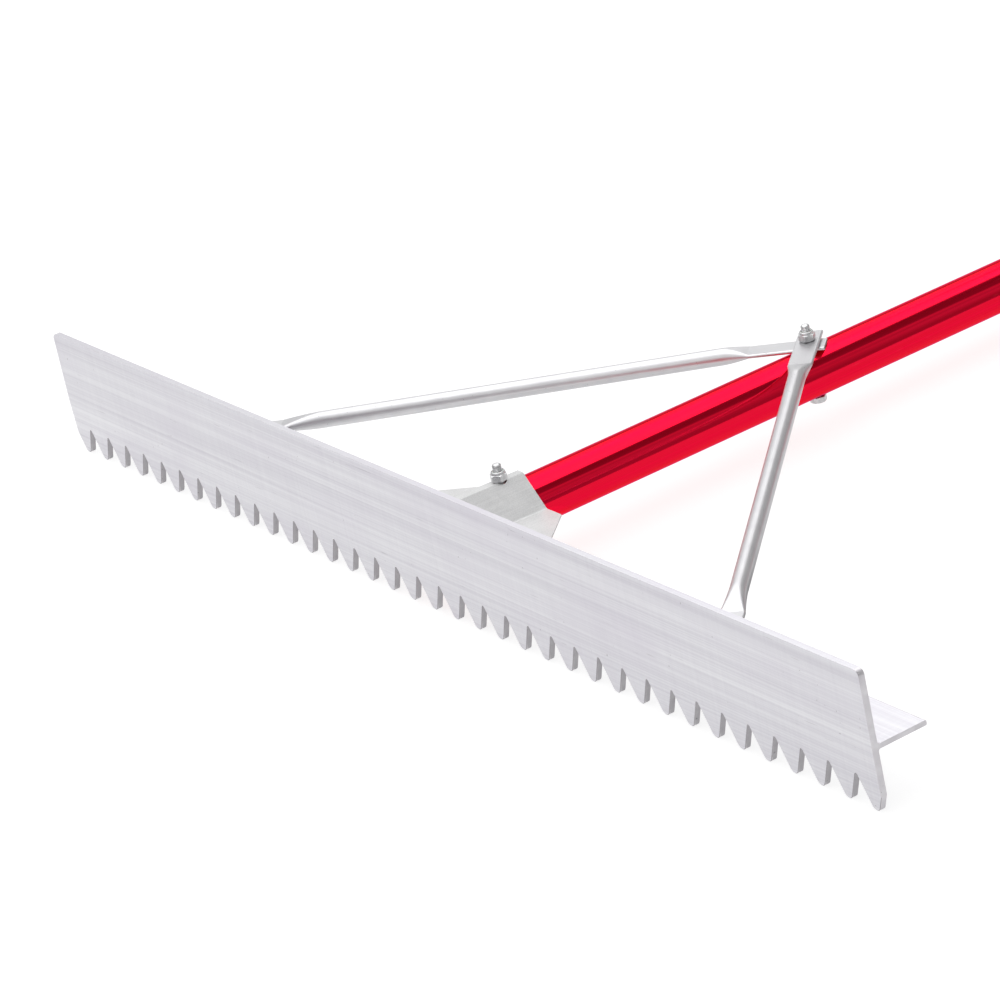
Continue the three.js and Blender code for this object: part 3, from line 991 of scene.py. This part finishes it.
# In a finish, a pattern's scale is in repeats per metre, the same on all axes or one for each,
# and a relief's height is in metres. Roughness is the dark tone's and then the light tone's.
# Tone, rougher and relief add patterns by weight. A mark lays its colour on where a pattern rises
# from its first number to its second, by the share that is its third, and what is added after
# that is the rise.
alongRake = (lean, 0.0, 0.0)
extrusion = {
    "lightColour": (0.825, 0.82, 0.85, 1.0),
    "darkColour": (0.665, 0.65, 0.70, 1.0),
    "turn": alongRake,
    "patterns": {
        "fine": {"scale": (3.0, 1100.0, 1100.0), "detail": 4.0},
        "lines": {"scale": (1.2, 330.0, 330.0), "detail": 3.0},
        "bands": {"scale": (0.8, 60.0, 60.0)},
        "mauve": {"scale": (9.0, 9.0, 20.0), "detail": 3.0},
        "chatter": {"scale": (420.0, 9.0, 9.0)},
        "scratches": {"scale": (45.0, 900.0, 900.0), "detail": 1.0, "turn": (0.35, 0.2, 0.1)},
        "specks": {"scale": 420.0, "detail": 1.0},
    },
    "tone": {"fine": 0.34, "lines": 0.3, "bands": 0.26, "chatter": 0.1},
    "toneRange": (0.36, 0.62),
    "marks": [
        {"colour": (0.69, 0.655, 0.73, 1.0), "where": {"mauve": (0.45, 0.75, 0.5)}},
        {
            "colour": (0.30, 0.27, 0.29, 1.0),
            "where": {"scratches": (0.74, 0.8, 0.25), "specks": (0.79, 0.82, 0.6)},
        },
    ],
    "roughness": (0.4, 0.28),
    "rougher": {"scratches": 0.1},
    "metallic": 0.85,
    "relief": {"fine": 0.7, "lines": 0.3, "scratches": -0.4},
    "reliefHeight": 0.000012,
}
cutFace = {
    "lightColour": (0.76, 0.745, 0.77, 1.0),
    "darkColour": (0.64, 0.62, 0.65, 1.0),
    "turn": alongRake,
    "patterns": {
        "sawMarks": {"scale": (400.0, 40.0, 260.0)},
        "patches": {"scale": 110.0},
        "burrs": {"scale": 300.0},
        # how squarely a face looks forward or back picks out the chamfers, which take a painted
        # dark edge line
        "shadedChamfers": {"facing": 1},  # only they look forward or back
    },
    "tone": {"sawMarks": 0.3, "patches": 0.7},
    "toneRange": (0.3, 0.7),
    # the mark is partly real and partly painted shade: burrs are dark random spots, and the
    # chamfers' share paints a dark line along the sloped edge faces
    "marks": [{
        "colour": (0.16, 0.15, 0.16, 1.0),
        "where": {"burrs": (0.70, 0.76, 0.5), "shadedChamfers": (0.15, 0.5, 0.55)},
    }],
    "roughness": (0.52, 0.37),
    "metallic": 0.8,
    "relief": {"sawMarks": 1.0},
    "reliefHeight": 0.00001,
}
redCoat = {
    "lightColour": (0.95, 0.004, 0.044, 1.0),
    "darkColour": (0.84, 0.002, 0.026, 1.0),
    "turn": alongRake,
    "patterns": {
        "drawn": {"scale": (1500.0, 1.5, 1500.0)},
        "bands": {"scale": (160.0, 0.6, 160.0)},
        "scuffs": {"scale": (700.0, 60.0, 700.0), "detail": 1.0, "turn": (lean, 0.3, 0.2)},
    },
    "tone": {"drawn": 0.5, "bands": 0.5},
    "toneRange": (0.35, 0.65),
    "marks": [{"colour": (0.95, 0.10, 0.12, 1.0), "where": {"scuffs": (0.75, 0.82, 0.25)}}],
    "roughness": (0.1, 0.14),
    "rougher": {"scuffs": 0.12},
    "metallic": 1.0,
    "relief": {"drawn": 1.0, "bands": 0.5},
    "reliefHeight": 0.000004,
    "sockets": {
        "Specular Tint": (0.95, 0.0, 0.42, 1.0),
        "Coat Weight": 0.1,
        "Coat Roughness": 0.06,
    },
}
sheetGrain = {
    "lightColour": (0.76, 0.761, 0.762, 1.0),
    "darkColour": (0.60, 0.60, 0.602, 1.0),
    "patterns": {
        "grain": {"scale": 1400.0},
        "clouds": {"scale": 55.0, "detail": 4.0},
        "rolled": {"scale": (900.0, 22.0, 900.0), "turn": alongRake},
    },
    "tone": {"grain": 0.4, "clouds": 0.35, "rolled": 0.25},
    "toneRange": (0.36, 0.64),
    "marks": [{"colour": (0.50, 0.50, 0.505, 1.0), "where": {"clouds": (0.60, 0.75, 0.35)}}],
    "roughness": (0.56, 0.44),
    "metallic": 0.45,
    "relief": {"grain": 1.0, "rolled": 0.6},
    "reliefHeight": 0.00002,
}
drawnTube = {
    "lightColour": (0.70, 0.70, 0.71, 1.0),
    "darkColour": (0.58, 0.575, 0.595, 1.0),
    # the UV map runs along the tube in X and round it in Y, both in metres
    "patterns": {
        "fine": {"scale": (8.0, 1300.0, 1.0), "detail": 3.0, "space": "UV"},
        "bands": {"scale": (2.0, 260.0, 1.0), "space": "UV"},
        "clouds": {"scale": 70.0, "detail": 3.0},
        "nicks": {"scale": (60.0, 800.0, 800.0), "detail": 1.0, "turn": (0.4, 0.3, 0.6)},
    },
    "tone": {"fine": 0.4, "bands": 0.35, "clouds": 0.25},
    "toneRange": (0.36, 0.62),
    "marks": [{"colour": (0.3, 0.295, 0.31, 1.0), "where": {"nicks": (0.74, 0.8, 0.5)}}],
    "roughness": (0.42, 0.34),
    "rougher": {"nicks": 0.1},
    "metallic": 0.95,
    "relief": {"fine": 1.0, "bands": 0.5, "nicks": -0.5},
    "reliefHeight": 0.00001,
}
zincPlating = {
    "lightColour": (0.80, 0.80, 0.805, 1.0),
    "darkColour": (0.58, 0.58, 0.59, 1.0),
    "patterns": {
        "grain": {"scale": 1600.0, "detail": 3.0},
        "patches": {"scale": 240.0, "detail": 3.0},
    },
    "tone": {"grain": 0.4, "patches": 0.6},
    "toneRange": (0.36, 0.62),
    "roughness": (0.42, 0.3),
    "metallic": 0.8,
    "relief": {"grain": 1.0},
    "reliefHeight": 0.00001,
}
nylonRing = {
    "lightColour": (0.80, 0.80, 0.77, 1.0),
    "darkColour": (0.68, 0.68, 0.64, 1.0),
    "patterns": {"grain": {"scale": 900.0}},
    "tone": {"grain": 1.0},
    "toneRange": (0.35, 0.65),
    "roughness": (0.5, 0.4),
    "metallic": 0.0,
    "relief": {"grain": 1.0},
    "reliefHeight": 0.00001,
    "sockets": {"Subsurface Weight": 0.15, "Subsurface Scale": 0.001},
}
plugPlastic = {
    "lightColour": (0.030, 0.030, 0.032, 1.0),
    "darkColour": (0.014, 0.014, 0.015, 1.0),
    "patterns": {
        "grain": {"scale": 1100.0, "detail": 3.0},
        "wear": {"scale": 90.0, "detail": 5.0},
    },
    "tone": {"grain": 1.0},
    "toneRange": (0.0, 1.0),
    "marks": [{"colour": (0.10, 0.10, 0.10, 1.0), "where": {"wear": (0.58, 0.72, 0.5)}}],
    "roughness": (0.5, 0.5),
    "rougher": {"wear": 0.2},
    "metallic": 0.0,
    "relief": {"grain": 1.0},
    "reliefHeight": 0.00004,
}


def weighed(signals, weights):
    terms = [weight * signals[label] for label, weight in weights.items()]
    return sum(terms[1:], terms[0])


def makeFinish(name, facts):
    # an even tone between dark and light, then the marks, and a relief for the bump
    paint = Paint(name)
    turn = facts.get("turn", unturned)
    signals = {label: paint.pattern(one, turn) for label, one in facts["patterns"].items()}
    tone = paint.between(weighed(signals, facts["tone"]), *facts["toneRange"])
    colour = paint.blend(tone, facts["darkColour"], facts["lightColour"])
    for mark in facts.get("marks", []):
        shares = {}
        for label, (low, high, share) in mark["where"].items():
            signals[label] = paint.between(signals[label], low, high)
            shares[label] = share
        colour = paint.blend(weighed(signals, shares), colour, mark["colour"])
    dark, light = facts["roughness"]
    roughness = dark * (1 - tone) + light * tone
    if "rougher" in facts:
        roughness = roughness + weighed(signals, facts["rougher"])
    bump = {
        "Height": weighed(signals, facts["relief"]),
        "Distance": facts["reliefHeight"],
        "Strength": 1.0,
    }
    paint.output(paint.make("ShaderNodeBsdfPrincipled", sockets={
        "Base Color": colour,
        "Roughness": roughness,
        "Metallic": facts["metallic"],
        "Normal": paint.make("ShaderNodeBump", sockets=bump),
        **facts.get("sockets", {}),
    }))
    return paint.material


finishes = {
    "extrusion": makeFinish("extrudedAluminium", extrusion),
    "cut": makeFinish("cutAluminium", cutFace),
    "red": makeFinish("redAnodised", redCoat),
    "sheet": makeFinish("grainedSheet", sheetGrain),
    "tube": makeFinish("drawnAluminium", drawnTube),
    "zinc": makeFinish("brightZinc", zincPlating),
    "nylon": makeFinish("whiteNylon", nylonRing),
    "plastic": makeFinish("mouldedPlastic", plugPlastic),
}
print("materials made:", len(finishes))

toothedHead()
handleTube()
endPlug()
saddleBracket()
for name, facts in braces.items():
    mesh = braceMesh(facts["side"], facts["height"], facts["endMargin"])
    nodes = [facts["node"]]
    addPiece(name, mesh, finishes["tube"], nodes, sharpDegrees=24.0)

fastenerPlaces = fastenerTree()
handleSpots = ["brace_joint", "saddle"]
flangeSpots = [spot for spot in spots if spot not in handleSpots]
longBolt, shortBolt = boltMesh(bolt["handleLength"]), boltMesh(bolt["flangeLength"])
for facts in (
    ("handleBolts", longBolt, handleSpots, "_bolt", "under", "zinc", "zinc_steel"),
    ("flangeBolts", shortBolt, flangeSpots, "_bolt", "under", "zinc", "zinc_steel"),
    ("lockNuts", nutMesh(), list(spots), "_nut", "over", "zinc", "zinc_steel"),
    ("nutRings", insertMesh(), list(spots), "_nut_insert", "over", "nylon", "nylon"),
):
    addFasteners(*facts)
print("pieces made")

# The camera and the studio are in metres, on the world's axes.
view = {
    "place": (2.4003, -2.3106, 1.2171),
    "aim": (-0.0194, -0.9727, 0.0389),
    "rollDegrees": -12.895,
    "lens": 172.08,
    "sensor": 36.0,
    "farthest": 50.0,
}


def aimed(place, target):
    # a matrix that stands a camera or a lamp at a place and points it at a target
    turn = (Vector(target) - Vector(place)).to_track_quat("-Z", "Y").to_matrix().to_4x4()
    return Matrix.Translation(place) @ turn


def addCamera():
    data = bpy.data.cameras.new("camera")
    data.lens = view["lens"]
    data.sensor_width = view["sensor"]
    data.sensor_fit = "HORIZONTAL"
    data.clip_end = view["farthest"]
    camera = placed(data, "camera")
    roll = Matrix.Rotation(math.radians(view["rollDegrees"]), 4, "Z")
    camera.matrix_world = aimed(view["place"], view["aim"]) @ roll
    bpy.context.scene.camera = camera


studio = {
    "floorHalfWidth": 30.0,
    "floorThickness": 0.02,
    "floorColour": (0.32, 0.32, 0.32, 1.0),
    "floorLift": 0.80,
    "floorShine": 0.71,
    "fillStrength": 0.5,
    "backgroundStrength": 1.0,
    "lampPlace": (-0.9, -0.6, 2.6),
    "lampAim": (0.0, -0.8, 0.0),
    "lampSize": (4.5, 5.0),
    "lampPower": 70.3,
    "wallRadius": 4.2,
    "wallSteps": 40,
    # a wall's tones are (share of its height, grey)
    "walls": {
        "rightWall": {
            "degrees": (-38.0, 135.0),
            "height": 6.45,
            "tones": [
                (0.0, 0.34), (0.08, 0.42), (0.2, 0.54), (0.3, 0.42), (0.4, 0.64), (0.47, 0.24),
                (1.0, 0.2),
            ],
        },
        "leftWall": {
            "degrees": (-95.0, -38.0),
            "height": 4.4,
            "tones": [(0.0, 0.90), (0.2, 0.79), (0.38, 0.55), (1.0, 0.59)],
        },
        "frontWall": {
            "degrees": (-165.0, -95.0),
            "height": 3.2,
            "tones": [(0.0, 0.42), (0.35, 0.44), (0.5, 0.14), (0.95, 0.14), (1.0, 0.6)],
        },
    },
    # a card lies on the floor between two corners
    "cards": {
        "greyCard": {"low": (0.17, -0.82), "high": (4.2, 4.0), "tone": 0.34},
        "nearCard": {"low": (0.17, -0.93), "high": (0.45, -0.82), "tone": 0.34},
        "paleCard": {"low": (-4.2, -0.93), "high": (0.17, 4.0), "tone": 0.88},
        # this card is painted shade: a darker strip under the blade that reflections show in place
        # of its contact shadow
        "toothCard": {"low": (-0.456, -1.045), "high": (0.454, -1.02), "tone": 0.52},
    },
    "cardLift": 0.0004,
}


def addFloor():
    half = studio["floorHalfWidth"]
    corners = rectangle((-half, -half), (half, half))
    mesh = stack(corners, [(-studio["floorThickness"], 0), (0.0, 0)], "z")
    paint = Paint("paleFloor")
    shader = paint.make("ShaderNodeBsdfDiffuse", sockets={"Color": studio["floorColour"]})
    camera = paint.make("ShaderNodeLightPath", output="Is Camera Ray")
    glossy = paint.make("ShaderNodeLightPath", output="Is Glossy Ray")
    # the camera and reflections see a white floor, and it still takes the rake's shadow
    lift = paint.glow(white, camera * studio["floorLift"] + glossy * studio["floorShine"])
    paint.output(paint.make("ShaderNodeAddShader", sockets={0: shader, 1: lift}))
    mesh.materials.append(paint.material)
    placed(mesh, "floor")


def addScreen(name, points, faces, paint, colour):
    # a glowing wall or card that only reflections see
    mesh = bpy.data.meshes.new(name)
    mesh.from_pydata(points, [], faces)
    paint.output(paint.glow(colour))
    mesh.materials.append(paint.material)
    screen = placed(mesh, name)
    for ray in ("camera", "diffuse", "shadow", "transmission"):
        setattr(screen, "visible_" + ray, False)


def addWall(name, facts):
    # a curved wall round the rake, in greys that change with its height
    start, end = [math.radians(degrees) for degrees in facts["degrees"]]
    steps, radius = studio["wallSteps"], studio["wallRadius"]
    angles = [start + (end - start) * step / steps for step in range(steps + 1)]
    points = [
        (radius * math.sin(angle), radius * math.cos(angle), height)
        for height in (0.0, facts["height"]) for angle in angles
    ]
    count = len(angles)
    faces = [(step, step + 1, count + step + 1, count + step) for step in range(steps)]
    paint = Paint(name)
    share = paint.between(paint.part(paint.places(), 2), 0.0, facts["height"])
    tone = paint.make("ShaderNodeValToRGB", {"stops": facts["tones"]}, {"Fac": share})
    addScreen(name, points, faces, paint, tone)


def addCard(name, facts):
    corners = rectangle(facts["low"], facts["high"])
    points = [(corner.x, corner.y, studio["cardLift"]) for corner in corners]
    tone = facts["tone"]
    addScreen(name, points, [(0, 1, 2, 3)], Paint(name), (tone, tone, tone, 1.0))


def addLights():
    data = bpy.data.lights.new("overhead", "AREA")
    data.shape = "RECTANGLE"
    data.size, data.size_y = studio["lampSize"]
    data.energy = studio["lampPower"]
    placed(data, "overhead").matrix_world = aimed(studio["lampPlace"], studio["lampAim"])
    world = bpy.data.worlds.new("studio")
    world.use_nodes = True
    bpy.context.scene.world = world
    world.node_tree.nodes.clear()
    graph = Graph(world.node_tree)
    # white behind the rake and in reflections, and a weaker fill on everything else
    seen = graph.make("ShaderNodeLightPath", output="Is Camera Ray")
    for label in ("Is Glossy Ray", "Is Transmission Ray"):
        seen = graph.maths("MAXIMUM", seen, graph.make("ShaderNodeLightPath", output=label))
    extra = studio["backgroundStrength"] - studio["fillStrength"]
    strength = studio["fillStrength"] + seen * extra
    sky = graph.make("ShaderNodeBackground", sockets={"Color": white, "Strength": strength})
    graph.make("ShaderNodeOutputWorld", sockets={"Surface": sky})


addCamera()
addFloor()
for name, facts in studio["walls"].items():
    addWall(name, facts)
for name, facts in studio["cards"].items():
    addCard(name, facts)
addLights()
bpy.context.scene.view_settings.view_transform = "Standard"
print("stage set")
